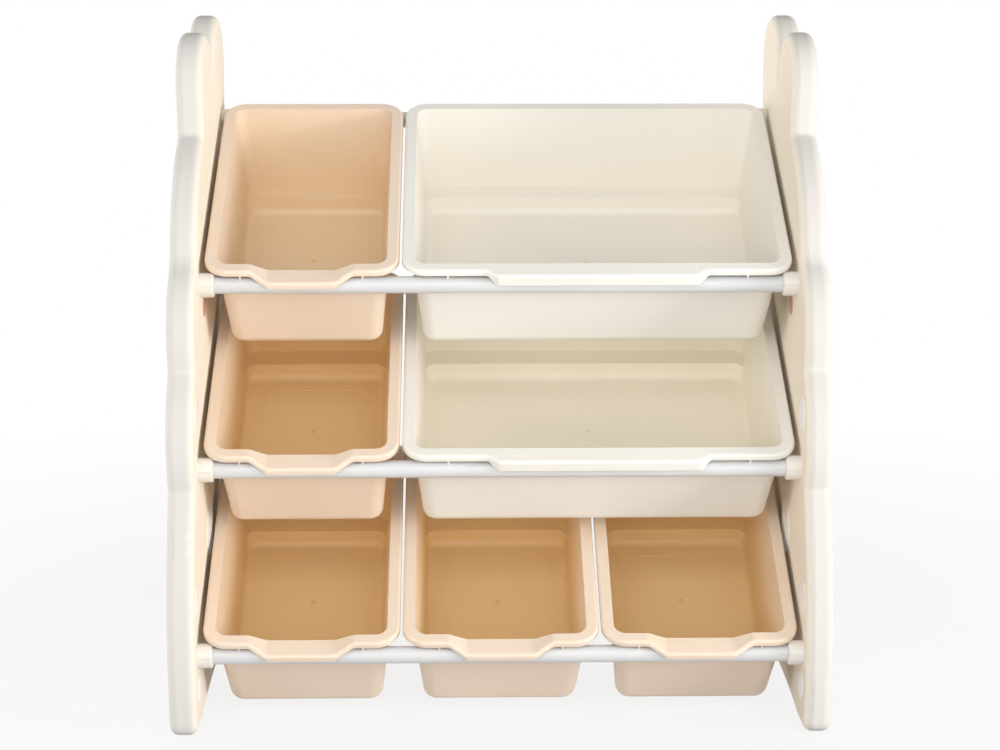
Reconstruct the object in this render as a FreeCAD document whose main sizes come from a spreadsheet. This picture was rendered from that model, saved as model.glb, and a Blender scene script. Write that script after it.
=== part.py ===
import FreeCAD, Part
import math
import os
import Sketcher
from FreeCAD import Placement, Rotation, Vector

# A free-standing toy organizer: two blow-moulded side panels joined by six steel tube rails,
# with seven bins that hang by their rims on the rails, tipped forward.
# X runs along the rails, Y from front to back, Z up. The origin is on the floor, in the middle.
# "Depth" values of the frame count from the foremost point, "height" values from the floor.

DIMENSIONS = {
    # Side panels
    "inner_span": 660.0,
    "panel_thickness": 30.0,
    "panel_wall": 3.0,
    "panel_edge_round": 10.0,
    "origin_depth": 225.0,
    "cavity_margin": 16.0,
    # Outline of a panel: notches between its lobes, and how far each lobe swells past its chord
    "front_foot_depth": 9.0,
    "rear_foot_depth": 446.0,
    "leg_bulge": 23.0,
    "low_notch_depth": 43.0,
    "low_notch_height": 265.0,
    "low_lobe_bulge": 21.0,
    "mid_notch_depth": 66.0,
    "mid_notch_height": 392.0,
    "mid_lobe_bulge": 24.0,
    "shoulder_depth": 108.0,
    "shoulder_height": 506.0,
    "shoulder_bulge": 20.0,
    "ear_notch_depth": 206.0,
    "ear_notch_height": 638.0,
    "front_ear_depth": 259.0,
    "front_ear_height": 690.0,
    "front_ear_radius": 60.0,
    "ear_gap_depth": 327.0,
    "ear_gap_height": 668.0,
    "rear_ear_depth": 391.5,
    "rear_ear_height": 708.5,
    "rear_ear_radius": 58.5,
    "nape_depth": 446.0,
    "nape_height": 652.0,
    "nape_bulge": 7.5,
    "rear_notch_depth": 438.0,
    "rear_high_notch_height": 565.0,
    "rear_mid_notch_height": 372.0,
    "rear_low_notch_height": 196.0,
    "rear_lobe_bulge": 12.0,
    "rear_leg_bulge": 7.5,
    # Feet and the low arch between them
    "foot_length": 50.0,
    "arch_rise": 13.0,
    "foot_round": 15.0,
    "arch_round": 60.0,
    "notch_round": 8.0,
    "shoulder_round": 30.0,
    "ear_gap_round": 5.0,
    # Rails: steel tube
    "rail_diameter": 19.0,
    "rail_wall": 1.2,
    "low_rail_depth": 32.0,
    "low_rail_height": 85.3,
    "middle_rail_depth": 78.0,
    "middle_rail_height": 281.9,
    "top_rail_depth": 128.0,
    "top_rail_height": 478.8,
    # Sockets, tube plugs, bolts and caps
    "fit_gap": 0.15,
    "socket_collar": 17.0,
    "socket_diameter": 27.0,
    "socket_round": 2.5,
    "spigot_diameter": 23.0,
    "spigot_length": 10.0,
    "socket_floor": 2.0,
    "boss_diameter": 34.0,
    "plug_length": 20.0,
    "bolt_diameter": 6.0,
    "bolt_reach": 16.0,
    "bolt_head_diameter": 11.0,
    "bolt_head_height": 3.6,
    "bolt_key_width": 4.0,
    "bolt_key_depth": 2.2,
    "counterbore_diameter": 20.0,
    "counterbore_depth": 7.0,
    "cap_wall": 1.6,
    "cap_crown": 1.2,
    # Bins, measured square to their rims and along them
    "bin_tilt": 30.0,
    "bin_width": 214.5,
    "bin_gap": 2.7,
    "bin_length": 334.0,
    "bin_depth": 126.0,
    "bin_wall": 2.5,
    "bin_side_draft": 5.0,
    "bin_end_draft": 8.0,
    "bin_corner": 16.0,
    "bin_floor_round": 12.0,
    "rim_width": 13.5,
    "rim_corner": 27.0,
    "rim_thickness": 2.5,
    "rim_skirt": 7.0,
    "skirt_wall": 2.2,
    "rim_round": 3.5,
    "ledge_depth": 25.0,
    "ledge_height": 20.0,
    "floor_inset": 22.0,
    "floor_recess": 0.6,
    # Where a rail lies under the rim, and the ribs that stand on it
    "rail_inset": 4.0,
    "rail_drop": 21.8,
    "seat_gap": 0.3,
    "rib_thickness": 2.0,
    "rib_offset": 67.0,
    "wide_rib_offset": 165.0,
    # Front pull: the rim reaches forward over the rail, and on a small bin it dips as well
    "pull_reach": 9.5,
    "pull_dip": 9.5,
    "pull_plate": 2.2,
    "pull_bend": 12.0,
    "pull_width": 114.0,
    "pull_slope": 26.0,
    "pull_skirt": 17.5,
    "pull_skirt_width": 69.0,
    "wide_pull_width": 242.0,
    "wide_pull_slope": 41.0,
    "wide_pull_skirt": 13.0,
    "wide_pull_bend": 5.0,
}

doc = FreeCAD.newDocument("ToyOrganizer")
sheet = doc.addObject("Spreadsheet::Sheet", "Dimensions")
for row, (name, number) in enumerate(DIMENSIONS.items(), start=1):
    sheet.set(f"A{row}", name)
    sheet.set(f"B{row}", str(number))
    sheet.setAlias(f"B{row}", name)
doc.recompute()


def dim(name):
    """The sheet cell of one driving dimension, for use in an expression."""
    return f"Dimensions.{name}"


def value(expression):
    """What an expression on the sheet comes to now."""
    result = sheet.evalExpression(expression)
    return float(getattr(result, "Value", result))


TILT_COS = f"cos({dim('bin_tilt')} * 1 deg)"
TILT_SIN = f"sin({dim('bin_tilt')} * 1 deg)"
SIDE_SLOPE = f"tan({dim('bin_side_draft')} * 1 deg)"
END_SLOPE = f"tan({dim('bin_end_draft')} * 1 deg)"
RAIL_SPACING = f"({dim('bin_length')} - 2 * {dim('rail_inset')})"
WIDE_WIDTH = f"(2 * {dim('bin_width')} + {dim('bin_gap')})"
BIN_PITCH = f"({dim('bin_width')} + {dim('bin_gap')})"
ROWS = ("low", "middle", "top")
ENDS = ("front", "rear")


def from_front(depth):
    """A depth measured from the foremost point, as a Y coordinate."""
    return f"({depth} - {dim('origin_depth')})"


def rail_place(row, end):
    """Y and Z of a rail's axis. A rear rail lies up the bins' slope from its front rail."""
    y = from_front(dim(f"{row}_rail_depth"))
    z = dim(f"{row}_rail_height")
    if end == "rear":
        y = f"({y} + {RAIL_SPACING} * {TILT_COS})"
        z = f"({z} + {RAIL_SPACING} * {TILT_SIN})"
    return y, z


RAILS = {(row, end): rail_place(row, end) for row in ROWS for end in ENDS}
HALF_SPAN = f"({dim('inner_span')} / 2)"
TUBE_END = f"({HALF_SPAN} + {dim('spigot_length')} - {dim('socket_floor')})"
TUBE_BORE = f"({dim('rail_diameter')} - 2 * {dim('rail_wall')})"
BOLT_HOLE = f"({dim('bolt_diameter')} + 2 * {dim('fit_gap')})"
COUNTERBORE_FLOOR = f"({HALF_SPAN} + {dim('panel_thickness')} - {dim('counterbore_depth')})"
NEAR = 0.01


# Sketch helpers: every point and radius is bound to the sheet

def new_sketch(body, name, role, offset=None):
    """A sketch on one of the body's own origin planes, moved along its normal by offset."""
    sketch = body.newObject("Sketcher::SketchObject", name)
    plane = next(item for item in body.Origin.OriginFeatures if item.Role == role)
    sketch.AttachmentSupport = [(plane, "")]
    sketch.MapMode = "FlatFace"
    if offset:
        sketch.setExpression("AttachmentOffset.Base.z", offset)
    return sketch


def bind(sketch, expression, kind, *place):
    """Adds a dimension to a sketch and ties it to an expression."""
    index = sketch.addConstraint(Sketcher.Constraint(kind, *place, value(expression)))
    sketch.setExpression(f"Constraints[{index}]", expression)


def pin(sketch, geometry, position, x, y):
    """Holds a point of a sketch at x and y. A plain "0" puts it on that axis."""
    if x == "0":
        sketch.addConstraint(Sketcher.Constraint("PointOnObject", geometry, position, -2))
    else:
        bind(sketch, x, "DistanceX", -1, 1, geometry, position)
    if y == "0":
        sketch.addConstraint(Sketcher.Constraint("PointOnObject", geometry, position, -1))
    else:
        bind(sketch, y, "DistanceY", -1, 1, geometry, position)


def add_circle(sketch, x, y, diameter):
    circle = Part.Circle(Vector(value(x), value(y), 0), Vector(0, 0, 1), value(diameter) / 2)
    index = sketch.addGeometry(circle, False)
    pin(sketch, index, 3, x, y)
    bind(sketch, diameter, "Diameter", index)


class Outline:
    """Draws a closed outline in a sketch, from point to point."""

    def __init__(self, sketch, x, y):
        self.sketch = sketch
        self.first = None
        self.last = None
        self.here = (x, y)

    def point(self, place):
        return Vector(value(place[0]), value(place[1]), 0)

    def end_at(self, geometry, point):
        """Which end of a piece of geometry lies at a point."""
        start = self.sketch.getPoint(geometry, 1)
        end = self.sketch.getPoint(geometry, 2)
        return 1 if start.distanceToPoint(point) <= end.distanceToPoint(point) else 2

    def add(self, shape, place, close, link="Coincident"):
        geometry = self.sketch.addGeometry(shape, False)
        start = self.end_at(geometry, self.point(self.here))
        if self.last is None:
            self.first = (geometry, start)
            pin(self.sketch, geometry, start, *self.here)
        else:
            self.sketch.addConstraint(Sketcher.Constraint(link, *self.last, geometry, start))
        self.last = (geometry, 3 - start)
        self.here = place
        if close:
            self.sketch.addConstraint(Sketcher.Constraint("Coincident", *self.last, *self.first))
        return geometry

    def line_to(self, x, y, close=False):
        shape = Part.LineSegment(self.point(self.here), self.point((x, y)))
        geometry = self.add(shape, (x, y), close)
        if not close:
            pin(self.sketch, geometry, self.last[1], x, y)

    def arc_to(self, x, y, bulge, radius=None):
        """An arc that swells by bulge to the left of the way from here to x, y."""
        (x0, y0) = self.here
        start = self.point(self.here)
        end = self.point((x, y))
        chord = end - start
        left = Vector(-chord.y, chord.x, 0).normalize()
        middle = (start + end) * 0.5 + left * value(bulge)
        geometry = self.add(Part.Arc(start, middle, end), (x, y), False)
        pin(self.sketch, geometry, self.last[1], x, y)
        if radius is None:
            chord_squared = f"(({x} - {x0})^2 + ({y} - {y0})^2)"
            radius = f"abs({chord_squared} / (8 * {bulge}) + {bulge} / 2)"
        bind(self.sketch, radius, "Radius", geometry)

    def follow(self, path):
        """Goes along a path whose points may each end an arc."""
        for x, y, bulge, radius in path:
            if bulge is None:
                self.line_to(x, y)
            else:
                self.arc_to(x, y, bulge, radius)

    def round_over(self, centre, radius, x, y):
        """Runs straight onto a circle, clockwise round it, and straight on to x, y."""
        middle = self.point(centre)
        size = value(radius)
        onto = self.touch(self.point(self.here), middle, size, 1)
        off = self.touch(self.point((x, y)), middle, size, -1)
        self.add(Part.LineSegment(self.point(self.here), onto), (str(onto.x), str(onto.y)), False)
        circle = Part.Circle(middle, Vector(0, 0, 1), size)
        arc = Part.ArcOfCircle(circle, circle.parameter(off), circle.parameter(onto))
        geometry = self.add(arc, (str(off.x), str(off.y)), False, "Tangent")
        pin(self.sketch, geometry, 3, *centre)
        bind(self.sketch, radius, "Radius", geometry)
        line = Part.LineSegment(off, self.point((x, y)))
        geometry = self.add(line, (x, y), False, "Tangent")
        pin(self.sketch, geometry, self.last[1], x, y)

    def touch(self, point, middle, size, turn):
        """Where the tangent from a point meets a circle, on the side that turn picks."""
        away = point - middle
        angle = math.atan2(away.y, away.x) - turn * math.acos(size / away.Length)
        return middle + Vector(math.cos(angle), math.sin(angle), 0) * size


def polygon(sketch, points):
    outline = Outline(sketch, *points[0])
    for place in points[1:]:
        outline.line_to(*place)
    outline.line_to(*points[0], close=True)


def rounded_rectangle(sketch, half_width, front, rear, radius, square_front=False):
    """A rectangle about the Y axis with round corners, or with its two front corners square."""
    half, low, high, size = [value(item) for item in (half_width, front, rear, radius)]
    back = 0 if square_front else size
    lines = [
        Part.LineSegment(Vector(-half + back, low), Vector(half - back, low)),
        Part.LineSegment(Vector(half, low + back), Vector(half, high - size)),
        Part.LineSegment(Vector(half - size, high), Vector(-half + size, high)),
        Part.LineSegment(Vector(-half, high - size), Vector(-half, low + back)),
    ]
    edges = [sketch.addGeometry(line, False) for line in lines]
    for edge, direction in zip(edges, ("Horizontal", "Vertical", "Horizontal", "Vertical")):
        sketch.addConstraint(Sketcher.Constraint(direction, edge))
    centres = [(half - size, low + size), (half - size, high - size),
               (-half + size, high - size), (-half + size, low + size)]
    arcs = []
    for turn, centre in enumerate(centres):
        before = edges[turn]
        after = edges[(turn + 1) % 4]
        if square_front and turn in (0, 3):
            sketch.addConstraint(Sketcher.Constraint("Coincident", before, 2, after, 1))
            continue
        circle = Part.Circle(Vector(*centre), Vector(0, 0, 1), size)
        start = math.radians(90 * turn - 90)
        arc = sketch.addGeometry(Part.ArcOfCircle(circle, start, start + math.pi / 2), False)
        sketch.addConstraint(Sketcher.Constraint("Tangent", before, 2, arc, 1))
        sketch.addConstraint(Sketcher.Constraint("Tangent", arc, 2, after, 1))
        arcs.append(arc)
    for arc in arcs[1:]:
        sketch.addConstraint(Sketcher.Constraint("Equal", arcs[0], arc))
    bind(sketch, radius, "Radius", arcs[0])
    bind(sketch, half_width, "DistanceX", -1, 1, edges[1], 1)
    bind(sketch, f"-({half_width})", "DistanceX", -1, 1, edges[3], 1)
    bind(sketch, front, "DistanceY", -1, 1, edges[0], 1)
    bind(sketch, rear, "DistanceY", -1, 1, edges[2], 1)


# Feature helpers

def pad(body, name, sketch, length, reverse=False, both_ways=False):
    feature = body.newObject("PartDesign::Pad", name)
    feature.Profile = sketch
    feature.setExpression("Length", length)
    feature.Reversed = reverse
    if both_ways:
        feature.SideType = "Symmetric"
    doc.recompute()
    return feature


def pocket(body, name, sketch, length, reverse=False, both_ways=False):
    """A pocket, which must take something away."""
    before = body.Shape.Volume
    feature = body.newObject("PartDesign::Pocket", name)
    feature.Profile = sketch
    feature.setExpression("Length", length)
    feature.Reversed = reverse
    if both_ways:
        feature.SideType = "Symmetric"
    doc.recompute()
    if not feature.Shape.Volume < before:
        raise RuntimeError(f"{body.Label}: {name} cuts nothing")
    return feature


def round_edges(body, name, edges, radius):
    """Rounds edges of the body, picked by a test on each edge."""
    base = body.Tip
    names = [f"Edge{i}" for i, edge in enumerate(base.Shape.Edges, start=1) if edges(edge)]
    if not names:
        raise RuntimeError(f"{body.Label}: {name} finds no edge")
    feature = body.newObject("PartDesign::Fillet", name)
    feature.Base = (base, names)
    feature.setExpression("Radius", radius)
    doc.recompute()
    if "Up-to-date" not in feature.State or not feature.Shape.isValid():
        raise RuntimeError(f"{body.Label}: {name} fails")
    return feature


def new_body(label):
    body = doc.addObject("PartDesign::Body", label)
    body.Label = label
    return body


def place(item, x, y, z):
    for axis, expression in zip("xyz", (x, y, z)):
        item.setExpression(f"Placement.Base.{axis}", expression)


def group(label, items):
    """One named piece made of the given shapes."""
    item = doc.addObject("Part::Compound", label)
    item.Label = label
    item.Links = items
    return item


def mirrored(name, source):
    """The mirror image of a shape, from the right side to the left."""
    item = doc.addObject("Part::Mirroring", name)
    item.Source = source
    item.Normal = Vector(1, 0, 0)
    return item


# Side panels: the right one is drawn, the left one is its mirror image

def panel_corners(margin):
    """Corners of a panel's outline, moved inward by a margin."""
    front = f"{margin} - {dim('origin_depth')}"
    rear = f"-{margin} - {dim('origin_depth')}"
    middle = f"-{dim('origin_depth')}"
    rear_notch = f"({dim('rear_notch_depth')} + {rear})"
    return {
        "low_notch": (f"({dim('low_notch_depth')} + {front})", dim("low_notch_height")),
        "mid_notch": (f"({dim('mid_notch_depth')} + {front})", dim("mid_notch_height")),
        "shoulder": (f"({dim('shoulder_depth')} + {front})", dim("shoulder_height")),
        "ear_notch": (f"({dim('ear_notch_depth')} + {front})", dim("ear_notch_height")),
        "front_ear": (f"({dim('front_ear_depth')} {middle})", dim("front_ear_height")),
        "ear_gap": (f"({dim('ear_gap_depth')} {middle})", f"({dim('ear_gap_height')} - {margin})"),
        "rear_ear": (f"({dim('rear_ear_depth')} {middle})", dim("rear_ear_height")),
        "nape": (f"({dim('nape_depth')} + {rear})", dim("nape_height")),
        "rear_high_notch": (rear_notch, dim("rear_high_notch_height")),
        "rear_mid_notch": (rear_notch, dim("rear_mid_notch_height")),
        "rear_low_notch": (rear_notch, dim("rear_low_notch_height")),
    }


CORNERS = panel_corners("0")
FEET = {
    "front_foot": (from_front(dim("front_foot_depth")), "0"),
    "rear_foot": (from_front(dim("rear_foot_depth")), "0"),
    "arch_rear": (from_front(f"{dim('rear_foot_depth')} - {dim('foot_length')}"), "0"),
    "arch_front": (from_front(f"{dim('front_foot_depth')} + {dim('foot_length')}"), "0"),
}


def draw_lobes(outline, corners, margin, last):
    """Up the scalloped front edge, over the two ears and down the back to the last point."""
    front_ear = f"({dim('front_ear_radius')} - {margin})"
    rear_ear = f"({dim('rear_ear_radius')} - {margin})"
    outline.arc_to(*corners["low_notch"], dim("leg_bulge"))
    outline.arc_to(*corners["mid_notch"], dim("low_lobe_bulge"))
    outline.arc_to(*corners["shoulder"], dim("mid_lobe_bulge"))
    outline.arc_to(*corners["ear_notch"], dim("shoulder_bulge"))
    outline.round_over(corners["front_ear"], front_ear, *corners["ear_gap"])
    outline.round_over(corners["rear_ear"], rear_ear, *corners["nape"])
    outline.arc_to(*corners["rear_high_notch"], dim("nape_bulge"))
    outline.arc_to(*corners["rear_mid_notch"], dim("rear_lobe_bulge"))
    outline.arc_to(*corners["rear_low_notch"], dim("rear_lobe_bulge"))
    outline.arc_to(*last, dim("rear_leg_bulge"))


def draw_panel_outline(sketch):
    outline = Outline(sketch, *FEET["front_foot"])
    draw_lobes(outline, CORNERS, "0", FEET["rear_foot"])
    outline.line_to(*FEET["arch_rear"])
    outline.arc_to(*FEET["arch_front"], f"-{dim('arch_rise')}")
    outline.line_to(*FEET["front_foot"], close=True)


def draw_cavity(sketch):
    """The hollow inside a panel follows its outline, with a flat floor above the arch."""
    margin = dim("cavity_margin")
    floor = f"({dim('arch_rise')} + {margin})"
    front_foot = (from_front(f"{dim('front_foot_depth')} + {margin}"), floor)
    rear_foot = (from_front(f"{dim('rear_foot_depth')} - {margin}"), floor)
    outline = Outline(sketch, *front_foot)
    draw_lobes(outline, panel_corners(margin), margin, rear_foot)
    outline.line_to(*front_foot, close=True)


def edge_at(*names):
    """Picks the edges across the panel's thickness that stand at the named corners."""
    corners = {**CORNERS, **FEET}
    places = [(value(corners[name][0]), value(corners[name][1])) for name in names]

    def picked(edge):
        box = edge.BoundBox
        across = max(box.YLength, box.ZLength) < NEAR
        return across and any(math.hypot(box.YMin - y, box.ZMin - z) < NEAR for y, z in places)
    return picked


def edge_across_x(at=None):
    """Picks the edges that lie in a plane square to X, at one X or at any."""

    def picked(edge):
        box = edge.BoundBox
        return box.XLength < NEAR and (at is None or abs(box.XMin - value(at)) < NEAR)
    return picked


def circles_at_rails(body, name, diameter, offset=None):
    """A sketch with one circle at each rail's axis."""
    sketch = new_sketch(body, name, "YZ_Plane", offset)
    for y, z in RAILS.values():
        add_circle(sketch, y, z, diameter)
    return sketch


def make_panel():
    body = new_body("panel")
    thickness = dim("panel_thickness")
    outline = new_sketch(body, "panel_outline", "YZ_Plane")
    draw_panel_outline(outline)
    pad(body, "panel_plate", outline, thickness)
    notches = ("low_notch", "mid_notch", "ear_notch", "nape",
               "rear_high_notch", "rear_mid_notch", "rear_low_notch")
    round_edges(body, "notch_rounds", edge_at(*notches), dim("notch_round"))
    round_edges(body, "shoulder_rounds", edge_at("shoulder"), dim("shoulder_round"))
    round_edges(body, "ear_gap_rounds", edge_at("ear_gap"), dim("ear_gap_round"))
    round_edges(body, "foot_rounds", edge_at("front_foot", "rear_foot"), dim("foot_round"))
    round_edges(body, "arch_rounds", edge_at("arch_front", "arch_rear"), dim("arch_round"))
    round_edges(body, "panel_edge_rounds", edge_across_x(), dim("panel_edge_round"))

    hollow = f"{thickness} - 2 * {dim('panel_wall')}"
    cavity = new_sketch(body, "cavity_outline", "YZ_Plane", dim("panel_wall"))
    draw_cavity(cavity)
    pocket(body, "cavity", cavity, hollow, reverse=True)
    bosses = circles_at_rails(body, "boss_circles", dim("boss_diameter"), dim("panel_wall"))
    pad(body, "bosses", bosses, hollow)

    seats = circles_at_rails(body, "seat_circles", f"({dim('spigot_diameter')} + 2 * {dim('fit_gap')})")
    pocket(body, "seats", seats, dim("spigot_length"), reverse=True)
    holes = circles_at_rails(body, "bolt_hole_circles", BOLT_HOLE)
    pocket(body, "bolt_holes", holes, thickness, reverse=True)
    bores = circles_at_rails(body, "counterbore_circles", dim("counterbore_diameter"), thickness)
    pocket(body, "counterbores", bores, dim("counterbore_depth"))
    place(body, HALF_SPAN, "0", "0")
    return body


# Rails and the pieces that hold them

def make_rail():
    body = new_body("rail")
    ring = new_sketch(body, "rail_ring", "YZ_Plane")
    add_circle(ring, "0", "0", dim("rail_diameter"))
    add_circle(ring, "0", "0", TUBE_BORE)
    pad(body, "rail_tube", ring, f"2 * {TUBE_END}", both_ways=True)
    return body


def make_socket():
    """A collar on the panel's inner face with a spigot in the panel and a bore for the tube."""
    body = new_body("socket")
    reach = dim("socket_collar")
    root = dim("spigot_length")
    floor = f"({root} - {dim('socket_floor')})"
    face = new_sketch(body, "collar_circle", "YZ_Plane")
    add_circle(face, "0", "0", dim("socket_diameter"))
    pad(body, "collar", face, reach, reverse=True)
    round_edges(body, "collar_round", edge_across_x(f"-{reach}"), dim("socket_round"))
    spigot = new_sketch(body, "spigot_circle", "YZ_Plane")
    add_circle(spigot, "0", "0", dim("spigot_diameter"))
    pad(body, "spigot", spigot, root)
    bore = new_sketch(body, "socket_bore_circle", "YZ_Plane", floor)
    add_circle(bore, "0", "0", f"({dim('rail_diameter')} + 2 * {dim('fit_gap')})")
    pocket(body, "socket_bore", bore, f"{floor} + {reach}")
    hole = new_sketch(body, "socket_hole_circle", "YZ_Plane", root)
    add_circle(hole, "0", "0", BOLT_HOLE)
    pocket(body, "socket_hole", hole, dim("socket_floor"))
    place(body, HALF_SPAN, "0", "0")
    return body


def along_x(kind, name, start, length):
    """A Part primitive whose axis runs along X from X = start."""
    item = doc.addObject(kind, name)
    item.Placement = Placement(Vector(), Rotation(Vector(0, 0, 1), Vector(1, 0, 0)))
    item.setExpression("Placement.Base.x", start)
    item.setExpression("Height", length)
    return item


def cylinder(name, start, diameter, length):
    item = along_x("Part::Cylinder", name, start, length)
    item.setExpression("Radius", f"({diameter}) / 2")
    return item


def combine(kind, name, base, tool):
    item = doc.addObject(kind, name)
    item.Base = base
    item.Tool = tool
    return item


def make_plug():
    """A threaded plug in the end of a tube."""
    start = f"{TUBE_END} - {dim('plug_length')}"
    diameter = f"{TUBE_BORE} - 2 * {dim('fit_gap')}"
    solid = cylinder("plug_solid", start, diameter, dim("plug_length"))
    hole = cylinder("plug_hole", start, BOLT_HOLE, dim("plug_length"))
    return combine("Part::Cut", "plug", solid, hole)


def make_bolt():
    """A bolt through the panel into the plug, with a hexagonal key hole in its head."""
    start = f"({TUBE_END} - {dim('bolt_reach')})"
    shank = cylinder("bolt_shank", start, dim("bolt_diameter"), f"{COUNTERBORE_FLOOR} - {start}")
    head = cylinder("bolt_head", COUNTERBORE_FLOOR, dim("bolt_head_diameter"), dim("bolt_head_height"))
    key_floor = f"{COUNTERBORE_FLOOR} + {dim('bolt_head_height')} - {dim('bolt_key_depth')}"
    key = along_x("Part::Prism", "bolt_key", key_floor, dim("bolt_key_depth"))
    key.Polygon = 6
    key.setExpression("Circumradius", f"{dim('bolt_key_width')} / sqrt(3)")
    keyed_head = combine("Part::Cut", "keyed_bolt_head", head, key)
    return combine("Part::Fuse", "bolt", shank, keyed_head)


def make_cap():
    """A cap that closes a counterbore: its skirt stands on the counterbore's floor."""
    body = new_body("cap")
    height = f"({dim('counterbore_depth')} + {dim('cap_crown')})"
    diameter = f"({dim('counterbore_diameter')} - 2 * {dim('fit_gap')})"
    disc = new_sketch(body, "cap_circle", "YZ_Plane")
    add_circle(disc, "0", "0", diameter)
    pad(body, "cap_disc", disc, height)
    round_edges(body, "cap_round", edge_across_x(height), dim("cap_crown"))
    inside = new_sketch(body, "cap_inside_circle", "YZ_Plane")
    add_circle(inside, "0", "0", f"({diameter} - 2 * {dim('cap_wall')})")
    pocket(body, "cap_inside", inside, f"{height} - {dim('cap_wall')}", reverse=True)
    place(body, COUNTERBORE_FLOOR, "0", "0")
    return body


def copies_at_rails(label, source):
    """Six copies of a shape, one at the end of each rail, as one piece."""
    copies = []
    for (row, end), (y, z) in RAILS.items():
        copy = group(f"{label}_{end}_{row}", [source])
        place(copy, "0", y, z)
        copies.append(copy)
    return group(label, copies)


# Bins: X across, Y along the rim from front to back, Z square to the rim, which is at Z = 0

HALF_LENGTH = f"{dim('bin_length')} / 2"
RIM_FRONT = f"(-{HALF_LENGTH})"
RIM_REAR = f"({HALF_LENGTH})"


class Tub:
    """The sizes of a bin's tub: its walls at a level, for the outer skin or the inner one."""

    def __init__(self, width, inset):
        self.width = width
        self.inset = inset

    def half_width(self, level):
        start = f"({self.width} / 2 - {dim('rim_width')} + {dim('bin_wall')} - {self.inset})"
        return f"({start} - ({level}) * {SIDE_SLOPE})"

    def front(self, level):
        start = f"({RIM_FRONT} + {dim('rim_width')} - {dim('bin_wall')} + {self.inset})"
        return f"({start} + ({level}) * {END_SLOPE})"

    def rear(self, level, ledge="0"):
        start = f"({RIM_REAR} - {dim('rim_width')} + {dim('bin_wall')} - {self.inset} - {ledge})"
        return f"({start} - ({level}) * {END_SLOPE})"

    def corner(self):
        return f"({dim('bin_corner')} - {self.inset})"


def loft(body, name, upper, lower):
    before = body.Shape.Volume if body.Tip else 0
    feature = body.newObject("PartDesign::AdditiveLoft", name)
    feature.Profile = upper
    feature.Sections = [(lower, [""])]
    feature.Ruled = True
    doc.recompute()
    if feature.Shape.isNull() or not feature.Shape.Volume > before:
        raise RuntimeError(f"{body.Label}: {name} adds nothing")
    return feature


def make_tub(body, tub, name, depth):
    """The deep part of the tub, whose rear wall stands inside the ledge."""
    ledge = dim("ledge_depth")
    sketches = []
    for part, level in (("top", "0"), ("floor", depth)):
        sketch = new_sketch(body, f"{name}_{part}", "XY_Plane", f"-({level})")
        rear = tub.rear(level, ledge)
        rounded_rectangle(sketch, tub.half_width(level), tub.front(level), rear, tub.corner())
        sketches.append(sketch)
    return loft(body, name, *sketches)


def make_bay(body, tub, name, depth):
    """The shallow part at the back of the tub, over the ledge."""
    sketches = []
    for part, level in (("top", "0"), ("floor", depth)):
        sketch = new_sketch(body, f"{name}_{part}", "XY_Plane", f"-({level})")
        front = f"({dim('bin_length')} / 6)"
        rounded_rectangle(sketch, tub.half_width(level), front, tub.rear(level), tub.corner(), True)
        sketches.append(sketch)
    return loft(body, name, *sketches)


def edge_at_level(level):
    """Picks the edges that lie flat at a level of the bin."""
    height = -value(level)

    def picked(edge):
        box = edge.BoundBox
        return max(abs(box.ZMin - height), abs(box.ZMax - height)) < NEAR
    return picked


def make_rim(body, tag, width):
    """A flat flange round the tub with a skirt hanging from its edge."""
    flange = new_sketch(body, f"flange_outline_{tag}", "XY_Plane")
    rounded_rectangle(flange, f"({width} / 2)", RIM_FRONT, RIM_REAR, dim("rim_corner"))
    pad(body, f"flange_{tag}", flange, dim("rim_thickness"), reverse=True)
    ring = new_sketch(body, f"skirt_outline_{tag}", "XY_Plane")
    rounded_rectangle(ring, f"({width} / 2)", RIM_FRONT, RIM_REAR, dim("rim_corner"))
    inner = dim("skirt_wall")
    rounded_rectangle(ring, f"({width} / 2 - {inner})", f"({RIM_FRONT} + {inner})",
                      f"({RIM_REAR} - {inner})", f"({dim('rim_corner')} - {inner})")
    pad(body, f"skirt_{tag}", ring, dim("rim_skirt"), reverse=True)


def make_ribs(body, tag, offset):
    """Four ribs under the rim that stand on the front and rear rails."""
    ribs = new_sketch(body, f"rib_outlines_{tag}", "XY_Plane", f"-{dim('rim_thickness')} / 2")
    half = f"{dim('rib_thickness')} / 2"
    near = f"({HALF_LENGTH} - {dim('skirt_wall')} / 2)"
    far = f"({HALF_LENGTH} - {dim('rim_width')} + {dim('bin_wall')} / 2)"
    for across in (f"({offset})", f"(-{offset})"):
        for a, b in ((f"(-{near})", f"(-{far})"), (far, near)):
            low = f"({across} - {half})"
            high = f"({across} + {half})"
            polygon(ribs, [(low, a), (high, a), (high, b), (low, b)])
    rail_top = f"({dim('rail_drop')} - {dim('rail_diameter')} / 2)"
    length = f"{rail_top} - {dim('seat_gap')} - {dim('rim_thickness')} / 2"
    pad(body, f"ribs_{tag}", ribs, length, reverse=True)


PULL_FRONT = f"({HALF_LENGTH} + {dim('pull_reach')})"
# The notch of a dipped pull ends inside the tub, behind the inner face of the front wall
NOTCH_LENGTH = f"({dim('pull_reach')} + {dim('rim_width')} + 2 * {dim('bin_wall')})"


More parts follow.
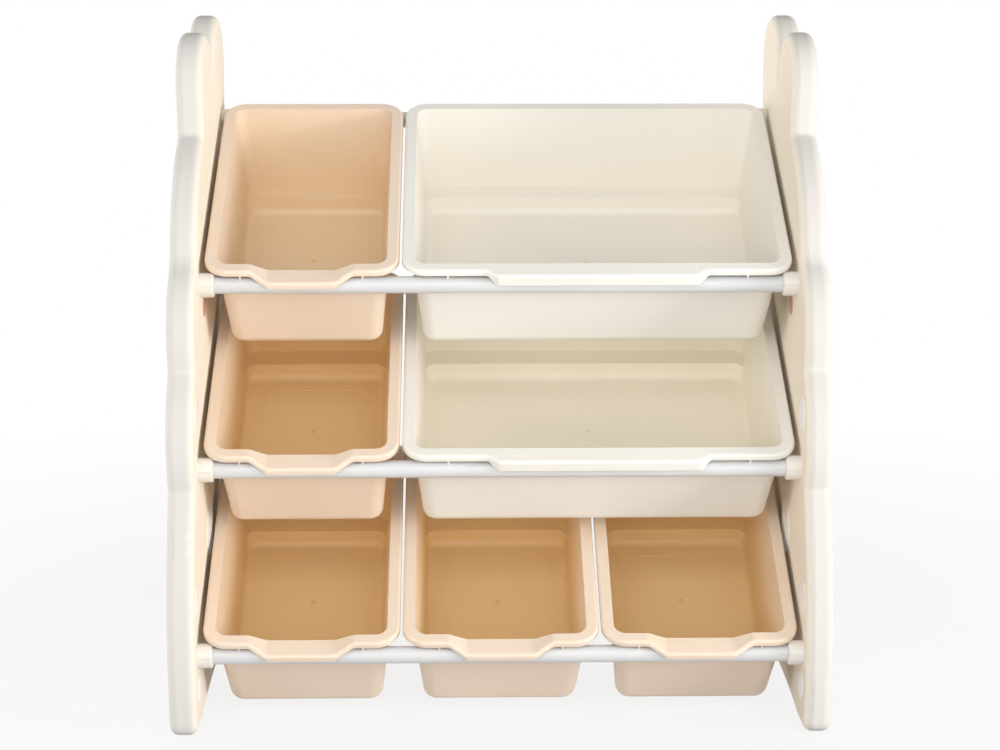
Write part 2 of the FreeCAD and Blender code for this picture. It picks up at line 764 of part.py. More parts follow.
class Dip:
    """A line that runs level, bends down a slope, runs level again and comes up the same way."""

    def __init__(self, half, high, low, slope, bend, offset="0"):
        self.half = half
        self.high = high
        self.low = low
        self.slope = slope
        self.turn = f"({slope} * 1 deg)"
        self.bend = bend
        self.offset = offset

    def moved(self, offset):
        """The parallel line at a distance above, or below where the offset is negative."""
        half = f"({self.half} - {offset} * tan({self.turn} / 2))"
        high = f"({self.high} + {offset})"
        low = f"({self.low} + {offset})"
        return Dip(half, high, low, self.slope, self.bend, offset)

    def path(self):
        """Points from left to right, each with the bulge and radius of an arc that ends there."""
        high_bend = f"({self.bend} + {self.offset})"
        low_bend = f"({self.bend} - {self.offset})"
        high_cut = f"({high_bend} * tan({self.turn} / 2))"
        low_cut = f"({low_bend} * tan({self.turn} / 2))"
        sagitta = f"(1 - cos({self.turn} / 2))"
        foot = f"({self.half} - ({self.high} - {self.low}) / tan({self.turn}))"
        high_end = f"({self.high} - {high_cut} * sin({self.turn}))"
        low_end = f"({self.low} + {low_cut} * sin({self.turn}))"
        over = (f"({high_bend} * {sagitta})", high_bend)
        under = (f"(-{low_bend} * {sagitta})", low_bend)
        straight = (None, None)
        return [
            (f"(-{self.half} - {high_cut})", self.high, *straight),
            (f"(-{self.half} + {high_cut} * cos({self.turn}))", high_end, *over),
            (f"(-{foot} - {low_cut} * cos({self.turn}))", low_end, *straight),
            (f"(-{foot} + {low_cut})", self.low, *under),
            (f"({foot} - {low_cut})", self.low, *straight),
            (f"({foot} + {low_cut} * cos({self.turn}))", low_end, *under),
            (f"({self.half} - {high_cut} * cos({self.turn}))", high_end, *straight),
            (f"({self.half} + {high_cut})", self.high, *over),
        ]

    def height(self, x):
        """How high the line is at x now, for a line that hasn't been moved."""
        half, high, low, bend = [value(item) for item in (self.half, self.high, self.low, self.bend)]
        turn = math.radians(value(self.turn))
        cut = bend * math.tan(turn / 2)
        foot = half - (high - low) / math.tan(turn)
        across = abs(x)
        if across >= half + cut:
            return high
        if across > half - cut * math.cos(turn):
            return high - bend + math.sqrt(bend ** 2 - (half + cut - across) ** 2)
        if across >= foot + cut * math.cos(turn):
            return high - (half - across) * math.tan(turn)
        if across > foot - cut:
            return low + bend - math.sqrt(bend ** 2 - (across - foot + cut) ** 2)
        return low


def backward(path):
    """The same path from right to left."""
    points = path[::-1]
    result = [(*points[0][:2], None, None)]
    for before, point in zip(points, points[1:]):
        bulge = before[2] and f"(-{before[2]})"
        result.append((*point[:2], bulge, before[3]))
    return result


def draw_strip(sketch, first, second):
    """The closed strip between two dips."""
    there = first.path()
    back = backward(second.path())
    outline = Outline(sketch, *there[0][:2])
    outline.follow(there[1:])
    outline.follow(back)
    outline.line_to(*there[0][:2], close=True)


def draw_side(sketch, dip, level, margin="0"):
    """The closed area between a dip and a straight line at a level above or below it."""
    there = dip.path()
    left = f"({there[0][0]} - {margin})"
    right = f"({there[-1][0]} + {margin})"
    outline = Outline(sketch, *there[0][:2])
    outline.follow(there[1:])
    if margin != "0":
        outline.line_to(right, there[-1][1])
    outline.line_to(right, level)
    outline.line_to(left, level)
    if margin != "0":
        outline.line_to(left, there[0][1])
    outline.line_to(*there[0][:2], close=True)


def make_pull_front(body, tag, plan, skirt, edge):
    """The skirt in front of a pull: it follows the pull's plan and has a shaped lower edge."""
    band = new_sketch(body, f"pull_band_{tag}", "XY_Plane")
    draw_strip(band, plan, plan.moved(dim("skirt_wall")))
    pad(body, f"pull_front_{tag}", band, skirt, reverse=True)
    below = new_sketch(body, f"pull_edge_outline_{tag}", "XZ_Plane", PULL_FRONT)
    draw_side(below, edge, f"(-{skirt} - {dim('rim_skirt')})", dim("rim_width"))
    pocket(body, f"pull_edge_{tag}", below, f"{dim('pull_reach')} + {dim('skirt_wall')}")


def make_dipped_pull(body, tag):
    """The rim dips in the middle of the front and reaches forward over the rail."""
    half = f"({dim('pull_width')} / 2)"
    slope = dim("pull_slope")
    bend = dim("pull_bend")
    plan = Dip(half, RIM_FRONT, f"(-{PULL_FRONT})", slope, bend)
    top = Dip(half, "0", f"(-{dim('pull_dip')})", slope, bend)
    rise = f"(({dim('pull_skirt')} - {dim('rim_skirt')}) / tan({slope} * 1 deg))"
    edge = Dip(f"({dim('pull_skirt_width')} / 2 + {rise})", f"(-{dim('rim_skirt')})",
               f"(-{dim('pull_skirt')})", slope, bend)
    make_pull_front(body, tag, plan, dim("pull_skirt"), edge)
    strip = new_sketch(body, f"pull_plate_outline_{tag}", "XZ_Plane", PULL_FRONT)
    draw_strip(strip, top, top.moved(f"(-{dim('pull_plate')})"))
    pad(body, f"pull_plate_{tag}", strip, NOTCH_LENGTH, reverse=True)
    ahead = new_sketch(body, f"pull_plan_{tag}", "XY_Plane")
    draw_side(ahead, plan, f"(-{PULL_FRONT} - {dim('pull_reach')})")
    pocket(body, f"pull_corners_{tag}", ahead, f"{dim('pull_dip')} + {dim('pull_plate')}")
    notch = new_sketch(body, f"pull_notch_outline_{tag}", "XZ_Plane", PULL_FRONT)
    draw_side(notch, top, dim("pull_dip"))
    pocket(body, f"pull_notch_{tag}", notch, NOTCH_LENGTH)
    return plan, top


def make_flat_pull(body, tag):
    """The rim reaches forward over the rail, with a deeper skirt in front of it."""
    half = f"({dim('wide_pull_width')} / 2)"
    slope = dim("wide_pull_slope")
    bend = dim("wide_pull_bend")
    plan = Dip(half, RIM_FRONT, f"(-{PULL_FRONT})", slope, bend)
    edge = Dip(half, f"(-{dim('rim_skirt')})", f"(-{dim('wide_pull_skirt')})", slope, bend)
    make_pull_front(body, tag, plan, dim("wide_pull_skirt"), edge)
    plate = new_sketch(body, f"pull_plate_outline_{tag}", "XY_Plane")
    draw_side(plate, plan, f"({RIM_FRONT} + {dim('rim_width')} / 2)")
    pad(body, f"pull_plate_{tag}", plate, dim("rim_thickness"), reverse=True)
    return plan, Dip(half, "0", "0", slope, bend)


def rim_border(width, plan, top):
    """Picks the outer edge of the rim's top, all round and along the pull."""
    side = value(width) / 2
    rear = value(RIM_REAR)

    def picked(edge):
        box = edge.BoundBox
        middle = edge.valueAt((edge.FirstParameter + edge.LastParameter) / 2)
        at_front = abs(middle.y - plan.height(middle.x)) + abs(middle.z - top.height(middle.x)) < NEAR
        level = max(abs(box.ZMin), abs(box.ZMax)) < NEAR
        at_side = max(abs(box.XMin), abs(box.XMax)) > side - NEAR
        return at_front and box.XLength > NEAR or level and (at_side or box.YMin > rear - NEAR)
    return picked


def make_hollow(tag, width, inside, bay_inside, recessed):
    """The space inside a bin, as a solid to cut away."""
    body = new_body(f"hollow_{tag}")
    inner = Tub(width, dim("bin_wall"))
    make_tub(body, inner, f"hollow_tub_{tag}", inside)
    radius = f"{dim('bin_floor_round')} - {dim('bin_wall')}"
    round_edges(body, f"hollow_round_{tag}", edge_at_level(inside), radius)
    make_bay(body, inner, f"hollow_bay_{tag}", bay_inside)
    if recessed:
        panel = new_sketch(body, f"floor_recess_outline_{tag}", "XY_Plane", f"-{inside}")
        inset = dim("floor_inset")
        rounded_rectangle(panel, f"({inner.half_width(inside)} - {inset})",
                          f"({inner.front(inside)} + {inset})",
                          f"({inner.rear(inside, dim('ledge_depth'))} - {inset})", inner.corner())
        pad(body, f"floor_recess_{tag}", panel, dim("floor_recess"), reverse=True)
    return body


def make_bin(tag, width, dipped):
    """One kind of bin, with its rim level and centred over the origin."""
    body = new_body(f"skin_{tag}")
    outer = Tub(width, "0")
    depth = dim("bin_depth")
    bay = f"({depth} - {dim('ledge_height')})"
    make_tub(body, outer, f"tub_{tag}", depth)
    round_edges(body, f"tub_round_{tag}", edge_at_level(depth), dim("bin_floor_round"))
    make_bay(body, outer, f"bay_{tag}", bay)
    make_rim(body, tag, width)
    make_pull = make_dipped_pull if dipped else make_flat_pull
    plan, top = make_pull(body, tag)
    round_edges(body, f"rim_round_{tag}", rim_border(width, plan, top), dim("rim_round"))
    make_ribs(body, tag, dim("rib_offset") if dipped else dim("wide_rib_offset"))
    wall = dim("bin_wall")
    hollow = make_hollow(tag, width, f"({depth} - {wall})", f"({bay} - {wall})", dipped)
    return combine("Part::Cut", f"shell_{tag}", body, hollow)


def hang_bin(label, shape, x, row):
    """A copy of a bin, tipped forward about X and set on its row's rails."""
    item = group(label, [shape])
    item.Placement = Placement(Vector(), Rotation(Vector(1, 0, 0), 1))
    item.setExpression("Placement.Rotation.Angle", f"{dim('bin_tilt')} * 1 deg")
    along = f"(-{HALF_LENGTH} + {dim('rail_inset')})"
    up = f"(-{dim('rail_drop')})"
    y, z = RAILS[row, "front"]
    place(item, x, f"{y} - {along} * {TILT_COS} + {up} * {TILT_SIN}",
          f"{z} - {along} * {TILT_SIN} - {up} * {TILT_COS}")
    return item


def check(parts):
    """Stops if any object failed or any sub-part has no valid shape."""
    for item in doc.Objects:
        if "Invalid" in item.State or "Error" in item.State:
            raise RuntimeError(f"{item.Label} failed: {item.State}")
    for part in parts:
        if part.Shape.isNull() or not part.Shape.isValid() or not part.Shape.Solids:
            raise RuntimeError(f"{part.Label} has no valid shape")


def build_frame():
    """The panels, the rails and all that joins them."""
    rail = make_rail()
    parts = []
    for (row, end), (y, z) in RAILS.items():
        parts.append(group(f"rail_{end}_{row}", [rail]))
        place(parts[-1], "0", y, z)
    right = {"side_panel": make_panel(), "socket": make_socket(), "tube_plugs": make_plug(),
             "bolts": make_bolt(), "bolt_caps": make_cap()}
    left = {name: mirrored(f"{name}_mirrored", shape) for name, shape in right.items()}
    for side, shapes in (("left", left), ("right", right)):
        parts.append(group(f"side_panel_{side}", [shapes["side_panel"]]))
        for (row, end), (y, z) in RAILS.items():
            parts.append(group(f"socket_{side}_{end}_{row}", [shapes["socket"]]))
            place(parts[-1], "0", y, z)
        for name in ("tube_plugs", "bolts", "bolt_caps"):
            parts.append(copies_at_rails(f"{name}_{side}", shapes[name]))
    return parts


def build_bins():
    """A small and a wide bin in the upper two rows, three small bins in the low row."""
    small = make_bin("small", dim("bin_width"), True)
    wide = make_bin("wide", WIDE_WIDTH, False)
    left = f"-{BIN_PITCH}"
    parts = []
    for row in ("top", "middle"):
        parts.append(hang_bin(f"small_bin_{row}", small, left, row))
        parts.append(hang_bin(f"wide_bin_{row}", wide, f"{BIN_PITCH} / 2", row))
    for name, x in (("left", left), ("centre", "0"), ("right", BIN_PITCH)):
        parts.append(hang_bin(f"small_bin_low_{name}", small, x, "low"))
    return parts


sub_parts = build_frame() + build_bins()
doc.recompute()
check(sub_parts)
os.makedirs("parts", exist_ok=True)
for part in sub_parts:
    part.Shape.exportStep(f"parts/{part.Label}.step")
print(f"{len(sub_parts)} sub-parts written")
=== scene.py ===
import math

import bpy
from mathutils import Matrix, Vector
from mathutils.bvhtree import BVHTree


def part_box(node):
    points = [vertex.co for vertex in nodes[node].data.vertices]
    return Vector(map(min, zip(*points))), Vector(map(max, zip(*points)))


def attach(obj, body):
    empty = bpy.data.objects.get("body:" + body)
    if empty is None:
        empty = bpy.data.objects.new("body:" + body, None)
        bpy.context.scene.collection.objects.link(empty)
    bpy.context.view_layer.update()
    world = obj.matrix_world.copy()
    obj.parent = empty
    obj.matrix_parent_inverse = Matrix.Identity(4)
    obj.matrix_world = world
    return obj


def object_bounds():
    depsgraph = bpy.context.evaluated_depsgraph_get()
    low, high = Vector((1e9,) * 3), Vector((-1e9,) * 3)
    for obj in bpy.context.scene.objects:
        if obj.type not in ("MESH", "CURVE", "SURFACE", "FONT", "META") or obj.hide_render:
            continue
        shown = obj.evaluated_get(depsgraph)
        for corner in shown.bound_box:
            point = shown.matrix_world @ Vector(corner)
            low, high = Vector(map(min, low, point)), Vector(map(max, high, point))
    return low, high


# A toy organizer as its photograph shows it: plastics, small moulded details, a white table, light, camera.
# Lengths are in metres. X runs along the rails, Y from front to back, Z up.

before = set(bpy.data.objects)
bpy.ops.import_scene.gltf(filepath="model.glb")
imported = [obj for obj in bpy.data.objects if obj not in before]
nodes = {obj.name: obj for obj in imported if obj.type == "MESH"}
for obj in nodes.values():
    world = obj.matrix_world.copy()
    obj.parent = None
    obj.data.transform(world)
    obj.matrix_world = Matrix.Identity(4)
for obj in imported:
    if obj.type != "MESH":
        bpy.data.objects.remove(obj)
cad_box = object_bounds()

SMALL_BINS = ["small_bin_top", "small_bin_middle",
              "small_bin_low_left", "small_bin_low_centre", "small_bin_low_right"]
WIDE_BINS = ["wide_bin_top", "wide_bin_middle"]

# The bins hang tipped forward: they lift off along the normal of their rims, and their floors rise backward
TILT = math.radians(30)
LIFT = Vector((0.0, -math.sin(TILT), math.cos(TILT)))
BACKWARD = Vector((0.0, math.cos(TILT), math.sin(TILT)))


def srgb(r, g, b):
    """A colour written as it shows on screen, 0 to 255, in linear light."""
    def linear(level):
        level = level / 255
        return level / 12.92 if level <= 0.04045 else ((level + 0.055) / 1.055) ** 2.4
    return (linear(r), linear(g), linear(b), 1.0)


def box_size(node):
    low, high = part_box(node)
    return tuple(end - start for start, end in zip(low, high))


# Materials

class Tree:
    """A short way to build a material's nodes."""

    def __init__(self, name):
        self.material = bpy.data.materials.new(name)
        self.material.use_nodes = True
        self.nodes = self.material.node_tree.nodes
        self.links = self.material.node_tree.links
        self.shader = self.nodes["Principled BSDF"]

    def add(self, kind, **settings):
        node = self.nodes.new(kind)
        for key, setting in settings.items():
            setattr(node, key, setting)
        return node

    def link(self, start, end):
        self.links.new(start, end)

    def place(self, kind="Object"):
        return self.add("ShaderNodeTexCoord").outputs[kind]

    def normal(self):
        return self.add("ShaderNodeNewGeometry").outputs["Normal"]

    def noise(self, place, scale, detail=2.0):
        node = self.add("ShaderNodeTexNoise")
        node.inputs["Scale"].default_value = scale
        node.inputs["Detail"].default_value = detail
        self.link(place, node.inputs["Vector"])
        return node.outputs["Fac"]

    def spread(self, value, low, high, start=0.3, end=0.7):
        """Maps a value between start and end to low..high. Noise mostly lies between 0.3 and 0.7."""
        node = self.add("ShaderNodeMapRange")
        node.inputs["From Min"].default_value = start
        node.inputs["From Max"].default_value = end
        node.inputs["To Min"].default_value = low
        node.inputs["To Max"].default_value = high
        self.link(value, node.inputs["Value"])
        return node.outputs["Result"]

    def mix(self, factor, first, second):
        """Mixes the second colour into the first, which is linked or given as numbers."""
        node = self.add("ShaderNodeMix", data_type="RGBA")
        node.inputs["B"].default_value = second
        self.link(factor, node.inputs["Factor"])
        if isinstance(first, bpy.types.NodeSocket):
            self.link(first, node.inputs["A"])
        else:
            node.inputs["A"].default_value = first
        return node.outputs["Result"]

    def vector(self, operation, first, second):
        """A vector sum; the second vector is linked or given as numbers."""
        node = self.add("ShaderNodeVectorMath", operation=operation)
        self.link(first, node.inputs[0])
        if isinstance(second, bpy.types.NodeSocket):
            self.link(second, node.inputs[1])
        else:
            node.inputs[1].default_value = second
        return node.outputs["Value" if operation == "DOT_PRODUCT" else "Vector"]

    def times(self, first, second):
        node = self.add("ShaderNodeMath", operation="MULTIPLY")
        self.link(first, node.inputs[0])
        self.link(second, node.inputs[1])
        return node.outputs["Value"]

    def tint(self, colour):
        """Makes a linked colour the surface's colour."""
        self.colour = colour
        self.link(colour, self.shader.inputs["Base Color"])

    def bump(self, height, strength, distance, normal=None):
        node = self.add("ShaderNodeBump")
        node.inputs["Strength"].default_value = strength
        node.inputs["Distance"].default_value = distance
        self.link(height, node.inputs["Height"])
        if normal:
            self.link(normal, node.inputs["Normal"])
        return node.outputs["Normal"]


def moulded_plastic(name, colour, shade, roughness, wave_scale, grain_scale):
    """Moulded plastic: a little uneven in colour and gloss, with soft waves and a fine grain."""
    cloud_scale = 7.0
    gloss_scale = 40.0
    smoother = 0.05
    rougher = 0.06
    wave_strength = 0.12
    wave_height = 0.0006
    grain_strength = 0.10
    grain_height = 0.0001
    plastic_ior = 1.49
    tree = Tree(name)
    place = tree.place()
    cloud = tree.noise(place, cloud_scale, detail=3.0)
    tree.tint(tree.mix(tree.spread(cloud, 0.0, 1.0), colour, shade))
    gloss = tree.noise(place, gloss_scale, detail=3.0)
    uneven = tree.spread(gloss, roughness - smoother, roughness + rougher)
    tree.link(uneven, tree.shader.inputs["Roughness"])
    waves = tree.bump(tree.noise(place, wave_scale, detail=1.0), wave_strength, wave_height)
    skin = tree.bump(tree.noise(place, grain_scale), grain_strength, grain_height, waves)
    tree.link(skin, tree.shader.inputs["Normal"])
    tree.shader.inputs["IOR"].default_value = plastic_ior
    return tree


def bin_plastic(name, colour, shade, painted_shade, size):
    """Painted shade: inside the bins the colour is mixed towards a deeper one, more so towards the floor,
    standing in for light that there has come off or through plastic already. The size is that of the bin's
    box."""
    facing_in = -0.03
    facing_out = -0.01
    floor_height = -0.05
    rim_height = 0.06
    box_middle = (0.5, 0.5, 0.5)
    tree = moulded_plastic(name, colour, shade, roughness=0.40, wave_scale=90.0, grain_scale=1800.0)
    from_middle = tree.vector("SUBTRACT", tree.place("Generated"), box_middle)
    place = tree.vector("MULTIPLY", from_middle, size)
    facing = tree.vector("DOT_PRODUCT", place, tree.normal())
    inside = tree.spread(facing, 1.0, 0.0, facing_in, facing_out)
    height = tree.vector("DOT_PRODUCT", place, LIFT)
    low = tree.spread(height, 1.0, 0.0, floor_height, rim_height)
    # Painted shade: the deeper colour is mixed in on the inner faces, most towards the floor
    tree.tint(tree.mix(tree.times(inside, low), tree.colour, painted_shade))
    return tree.material


def panel_plastic(name, colour, shade, painted_bounce):
    """The panels are matt. On the faces towards the bins they are painted a little paler and warmer,
    painted light standing in for light bounced off the bins.
    """
    facing_in = -0.30
    facing_across = -0.10
    across = (1.0, 0.0, 0.0)
    tree = moulded_plastic(name, colour, shade, roughness=0.42, wave_scale=120.0, grain_scale=1500.0)
    place = tree.vector("DOT_PRODUCT", tree.place(), across)
    turned = tree.vector("DOT_PRODUCT", tree.normal(), across)
    inward = tree.spread(tree.times(place, turned), 1.0, 0.0, facing_in, facing_across)
    # Painted light: the faces towards the bins get the paler, warmer colour of light bounced off the bins
    tree.tint(tree.mix(inward, tree.colour, painted_bounce))
    tree.shader.inputs["Specular IOR Level"].default_value = 0.0
    return tree.material


def socket_plastic(name, colour, shade, line):
    """The socket collars show the line where the two halves of their mould met."""
    line_height = 0.5
    line_half_width = 0.014
    tree = moulded_plastic(name, colour, shade, roughness=0.38, wave_scale=200.0, grain_scale=2000.0)
    parts = tree.add("ShaderNodeSeparateXYZ")
    tree.link(tree.place("Generated"), parts.inputs[0])
    on_line = tree.add("ShaderNodeMath", operation="COMPARE")
    on_line.inputs[1].default_value = line_height
    on_line.inputs[2].default_value = line_half_width
    tree.link(parts.outputs["Z"], on_line.inputs[0])
    tree.tint(tree.mix(on_line.outputs["Value"], tree.colour, line))
    return tree.material


def powder_coat(name, colour, shade):
    """White powder coat on steel tube: fine orange peel and a soft gloss."""
    cloud_scale = 15.0
    peel_scale = 900.0
    peel_strength = 0.15
    peel_height = 0.0002
    smoothest = 0.30
    roughest = 0.40
    tree = Tree(name)
    place = tree.place()
    cloud = tree.noise(place, cloud_scale)
    tree.tint(tree.mix(tree.spread(cloud, 0.0, 1.0), colour, shade))
    peel = tree.noise(place, peel_scale, detail=1.0)
    tree.link(tree.bump(peel, peel_strength, peel_height), tree.shader.inputs["Normal"])
    tree.link(tree.spread(peel, smoothest, roughest), tree.shader.inputs["Roughness"])
    return tree.material


def plated_steel(name, colour, shade):
    """Zinc plate, a little cloudy."""
    cloud_scale = 300.0
    smoothest = 0.22
    roughest = 0.36
    tree = Tree(name)
    cloud = tree.noise(tree.place(), cloud_scale, detail=3.0)
    tree.tint(tree.mix(tree.spread(cloud, 0.0, 1.0), colour, shade))
    tree.link(tree.spread(cloud, smoothest, roughest), tree.shader.inputs["Roughness"])
    tree.shader.inputs["Metallic"].default_value = 1.0
    return tree.material


def trim_plastic(name, colour, shade, roughness=0.5, wave_scale=300.0, grain_scale=2500.0):
    """Plain moulded plastic for the small pieces."""
    return moulded_plastic(name, colour, shade, roughness, wave_scale, grain_scale).material


TAN_PAIR = srgb(241, 221, 200), srgb(237, 216, 194)
IVORY_PAIR = srgb(243, 240, 232), srgb(240, 236, 227)
SMALL_SIZE = box_size("small_bin_top")
WIDE_SIZE = box_size("wide_bin_top")

# The panel's third colour is painted bounce light on its faces towards the bins
PANEL = panel_plastic("panel_matt", srgb(220, 216, 210), srgb(217, 213, 206), srgb(248, 237, 220))
SOCKET = socket_plastic("socket_satin", srgb(236, 231, 223), srgb(232, 227, 218), srgb(216, 208, 197))
# Each bin plastic comes twice: the top row with a lighter painted shade inside, the rows below with a
# deeper one
TAN_TOP_LESS_PAINTED_SHADE = bin_plastic("bin_tan_top_less_painted_shade", *TAN_PAIR, srgb(236, 210, 174), SMALL_SIZE)
TAN_MORE_PAINTED_SHADE = bin_plastic("bin_tan_more_painted_shade", *TAN_PAIR, srgb(245, 212, 159), SMALL_SIZE)
IVORY_TOP_LESS_PAINTED_SHADE = bin_plastic("bin_ivory_top_less_painted_shade", *IVORY_PAIR, srgb(243, 237, 225), WIDE_SIZE)
IVORY_MORE_PAINTED_SHADE = bin_plastic("bin_ivory_more_painted_shade", *IVORY_PAIR, srgb(255, 247, 230), WIDE_SIZE)
DARK = trim_plastic("plug_dark", srgb(60, 60, 62), srgb(50, 50, 52), grain_scale=2000.0)
COAT = powder_coat("rail_coat", srgb(217, 217, 217), srgb(213, 213, 213))
STEEL = plated_steel("bolt_plated", srgb(196, 197, 200), srgb(170, 171, 176))
# The gate marks are real marks, coloured with the deeper colour painted as shade on the bins' floors
GATE_TAN_PAINTED_SHADE = trim_plastic("gate_tan_painted_shade", srgb(238, 202, 152), srgb(232, 195, 143))
GATE_IVORY_PAINTED_SHADE = trim_plastic("gate_ivory_painted_shade", srgb(248, 238, 218), srgb(244, 233, 211))
# The pads are painted whiter than the panel around them: a painted highlight on shallow bumps
PAD_PAINTED_HIGHLIGHT = trim_plastic("pad_pale_painted_highlight", srgb(250, 247, 242), srgb(247, 243, 237), 0.40, 120.0, 1500.0)
CORAL = trim_plastic("inlay_coral", srgb(219, 158, 138), srgb(214, 151, 130), 0.42, 150.0, 1800.0)


def material_of(node):
    """The top row catches more light than the rows below it, so its bins get their own inner colour, with
    less shade painted inside.
    """
    if node in SMALL_BINS:
        return TAN_TOP_LESS_PAINTED_SHADE if node.endswith("top") else TAN_MORE_PAINTED_SHADE
    if node in WIDE_BINS:
        return IVORY_TOP_LESS_PAINTED_SHADE if node.endswith("top") else IVORY_MORE_PAINTED_SHADE
    starts = {"side_panel": PANEL, "bolt_caps": PANEL, "rail": COAT, "socket": SOCKET,
              "tube_plugs": DARK, "bolts": STEEL}
    return next(material for start, material in starts.items() if node.startswith(start))


for name, item in nodes.items():
    item.data.materials.clear()
    item.data.materials.append(material_of(name))


# Small moulded details

GATE_RADIUS = 0.0035
GATE_RISE = 0.0006
GATE_BEHIND_MIDDLE = 0.025

# Shallow round pads on the inner face of each panel: Y, Z and radius
PADS = [(-0.152, 0.342, 0.019), (-0.186, 0.144, 0.020), (-0.184, 0.046, 0.016), (-0.052, 0.192, 0.030)]
PAD_RISE = 0.002

# One plain coral oval on each of the same faces: Y and Z
INLAY_PLACE = (-0.052, 0.449)
INLAY_HALF_WIDTH = 0.014
INLAY_HALF_HEIGHT = 0.012
INLAY_RISE = 0.0008

UP = Vector((0.0, 0.0, 1.0))


def oval_dome(place, normal, up, half_width, half_height, rise):
    """The points and faces of a shallow domed oval: rings from its edge to its crown, closed below."""
    rings = 6
    around = 40
    sink = 0.0003
    side = up.cross(normal)
    points = []
    for ring in range(rings):
        slope = math.pi / 2 * ring / rings
        out = math.cos(slope)
        lift = rise * math.sin(slope) - (sink if ring == 0 else 0.0)
        for step in range(around):
            angle = 2 * math.pi * step / around
            sideways = side * (half_width * out * math.cos(angle))
            upward = up * (half_height * out * math.sin(angle))
            points.append(place + (sideways + upward) + normal * lift)
    points.append(place + normal * rise)
    faces = [tuple(reversed(range(around)))]
    for ring in range(rings - 1):
        low = ring * around
        high = low + around
        for step in range(around):
            after = (step + 1) % around
            faces.append((low + step, low + after, high + after, high + step))
    last = (rings - 1) * around
    for step in range(around):
        faces.append((last + step, last + (step + 1) % around, len(points) - 1))
    return points, faces


def add_button(name, shape, material, body):
    """A small piece on a body. Its base, the one face with many corners, stays flat."""
    points, faces = shape
    mesh = bpy.data.meshes.new(name)
    mesh.from_pydata(points, [], faces)
    mesh.polygons.foreach_set("use_smooth", [len(face) < 5 for face in faces])
    mesh.materials.append(material)
    button = bpy.data.objects.new(name, mesh)
    bpy.context.collection.objects.link(button)
    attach(button, body)


def add_gate_mark(bin_name, material):
    """The small round mark on a bin's floor, where the plastic was let into the mould."""
    mesh = nodes[bin_name].data
    surface = BVHTree.FromPolygons([vertex.co for vertex in mesh.vertices],
                                   [polygon.vertices for polygon in mesh.polygons])
    low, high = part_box(bin_name)
    above = (Vector(low) + Vector(high)) / 2 + GATE_BEHIND_MIDDLE * BACKWARD
    place, _, _, _ = surface.ray_cast(above, -LIFT)
    shape = oval_dome(place, LIFT, BACKWARD, GATE_RADIUS, GATE_RADIUS, GATE_RISE)
    add_button(bin_name + "_gate", shape, material, bin_name)


def add_panel_marks(side, inward):
    """The pads and the coral oval on a panel's inner face, which looks along inward, 1 or -1 in X."""
    low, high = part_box("side_panel_" + side)
    face = low[0] if inward < 0 else high[0]
    normal = Vector((inward, 0.0, 0.0))
    for number, (depth, height, radius) in enumerate(PADS, 1):
        shape = oval_dome(Vector((face, depth, height)), normal, UP, radius, radius, PAD_RISE)
        add_button(f"pad_{side}_{number}", shape, PAD_PAINTED_HIGHLIGHT, "frame")
    shape = oval_dome(Vector((face, *INLAY_PLACE)), normal, UP,
                      INLAY_HALF_WIDTH, INLAY_HALF_HEIGHT, INLAY_RISE)
    add_button("inlay_" + side, shape, CORAL, "frame")


for bin_name in SMALL_BINS:
    add_gate_mark(bin_name, GATE_TAN_PAINTED_SHADE)
for bin_name in WIDE_BINS:
    add_gate_mark(bin_name, GATE_IVORY_PAINTED_SHADE)
add_panel_marks("left", 1)
add_panel_marks("right", -1)


# Studio: a white table that keeps the shadow, soft light from all sides, and the camera

WHITE = (1.0, 1.0, 1.0, 1.0)
SKY_LIGHT = 0.42

# The table: near and far are distances from the object's middle
TABLE_COLOUR = (0.8, 0.8, 0.8, 1.0)
TABLE_HALF = 12.0
TABLE_BELOW = 0.0005
TABLE_GLOW = 0.4
GLOW_UNDER_OBJECT = 0.5 * TABLE_GLOW
GLOW_NEAR = 0.4
GLOW_FAR = 1.2
LIT_SHARE = 0.5
SHADOW_SHARE = 0.18
SHADOW_NEAR = 0.6
SHADOW_FAR = 1.6

# The lamps: name, place, point that it faces, width and height, power
LAMPS = [
    ("front_wall", (0.0, -3.4, 0.7), (0.0, 0.0, 0.5), (7.0, 1.3), 52.0),
    ("back_wall", (0.0, 3.4, 1.1), (0.0, 0.0, 0.4), (7.0, 1.6), 44.0),
    ("front_top", (0.0, -2.4, 1.7), (0.0, 0.0, 0.35), (2.0, 1.0), 16.0),
    ("right_side", (2.6, -1.3, 0.5), (0.0, -0.2, 0.35), (1.2, 0.9), 50.0),
    ("left_side", (-2.6, -1.3, 0.5), (0.0, -0.2, 0.35), (1.2, 0.9), 16.0),
    ("left_back", (-3.0, 1.0, 0.45), (-0.36, 0.0, 0.40), (1.6, 0.7), 32.0),
]

# The camera, fitted to the photograph: it looks a little down and to the right
CAMERA_PLACE = (-0.0471, -2.511, 0.8118)
CAMERA_PITCH = math.radians(10.201)
CAMERA_YAW = math.radians(1.139)
CAMERA_LENS = 79.54
SENSOR_WIDTH = 36.0


def seen_as_background(node_tree):
    """1 for what the camera sees, straight or in metal and glass; 0 for light that falls on the object."""
    path = node_tree.nodes.new("ShaderNodeLightPath")
    seen = path.outputs["Is Camera Ray"]
    for other in ("Is Glossy Ray", "Is Transmission Ray"):
        either = node_tree.nodes.new("ShaderNodeMath")
        either.operation = "MAXIMUM"
        node_tree.links.new(seen, either.inputs[0])
        node_tree.links.new(path.outputs[other], either.inputs[1])
        seen = either.outputs[0]
    return seen


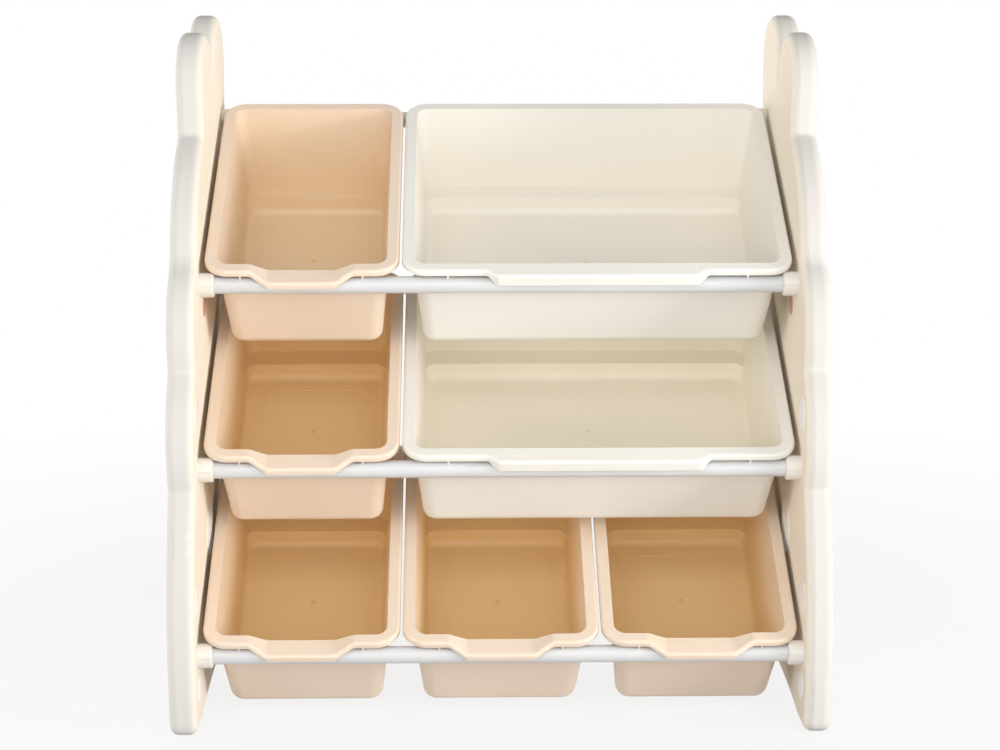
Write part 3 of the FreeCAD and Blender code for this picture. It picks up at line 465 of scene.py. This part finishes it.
def white_ground(name):
    """A white table: it glows a little for the object's light, as a lit table does. To the camera and
    in reflections it is near white, with the object's shadow, and pure white further off."""
    tree = Tree(name)
    tree.nodes.remove(tree.shader)
    far = tree.add("ShaderNodeVectorMath", operation="LENGTH")
    tree.link(tree.place(), far.inputs[0])
    distance = far.outputs["Value"]

    def mixed(first, second):
        node = tree.add("ShaderNodeMixShader")
        tree.link(first.outputs[0], node.inputs[1])
        tree.link(second.outputs[0], node.inputs[2])
        return node

    diffuse = tree.add("ShaderNodeBsdfDiffuse")
    diffuse.inputs["Color"].default_value = TABLE_COLOUR
    glow = tree.add("ShaderNodeEmission")
    strength = tree.spread(distance, GLOW_UNDER_OBJECT, TABLE_GLOW, GLOW_NEAR, GLOW_FAR)
    tree.link(strength, glow.inputs["Strength"])
    lit = mixed(glow, diffuse)
    lit.inputs["Fac"].default_value = LIT_SHARE
    white = tree.add("ShaderNodeEmission")
    seen = mixed(white, diffuse)
    shadow = tree.spread(distance, SHADOW_SHARE, 0.0, SHADOW_NEAR, SHADOW_FAR)
    tree.link(shadow, seen.inputs["Fac"])
    choice = mixed(lit, seen)
    tree.link(seen_as_background(tree.material.node_tree), choice.inputs["Fac"])
    tree.link(choice.outputs[0], tree.nodes["Material Output"].inputs["Surface"])
    return tree.material


def make_floor():
    half = TABLE_HALF
    mesh = bpy.data.meshes.new("floor")
    mesh.from_pydata([(-half, -half, 0), (half, -half, 0), (half, half, 0), (-half, half, 0)],
                     [], [(0, 1, 2, 3)])
    mesh.materials.append(white_ground("floor_white"))
    floor = bpy.data.objects.new("floor", mesh)
    bpy.context.collection.objects.link(floor)
    floor.location.z = cad_box[0][2] - TABLE_BELOW


def make_world():
    """Even white light all round, and a white background."""
    world = bpy.data.worlds.new("studio")
    bpy.context.scene.world = world
    world.use_nodes = True
    tree = world.node_tree
    light = tree.nodes["Background"]
    light.inputs["Color"].default_value = WHITE
    light.inputs["Strength"].default_value = SKY_LIGHT
    seen = tree.nodes.new("ShaderNodeBackground")
    seen.inputs["Color"].default_value = WHITE
    seen.inputs["Strength"].default_value = 1.0
    choice = tree.nodes.new("ShaderNodeMixShader")
    tree.links.new(seen_as_background(tree), choice.inputs["Fac"])
    tree.links.new(light.outputs[0], choice.inputs[1])
    tree.links.new(seen.outputs[0], choice.inputs[2])
    tree.links.new(choice.outputs[0], tree.nodes["World Output"].inputs["Surface"])


def area_light(name, place, target, size, power):
    data = bpy.data.lights.new(name, "AREA")
    data.shape = "RECTANGLE"
    data.size, data.size_y = size
    data.energy = power
    lamp = bpy.data.objects.new(name, data)
    bpy.context.collection.objects.link(lamp)
    lamp.location = place
    lamp.rotation_euler = (Vector(target) - Vector(place)).to_track_quat("-Z", "Y").to_euler()
    lamp.visible_camera = False


def make_camera():
    data = bpy.data.cameras.new("camera")
    data.sensor_width = SENSOR_WIDTH
    data.lens = CAMERA_LENS
    camera = bpy.data.objects.new("camera", data)
    bpy.context.collection.objects.link(camera)
    camera.location = CAMERA_PLACE
    camera.rotation_euler = (math.pi / 2 - CAMERA_PITCH, 0.0, -CAMERA_YAW)
    bpy.context.scene.camera = camera


bpy.context.scene.view_settings.view_transform = "Standard"
make_floor()
make_world()
for lamp in LAMPS:
    area_light(*lamp)
make_camera()
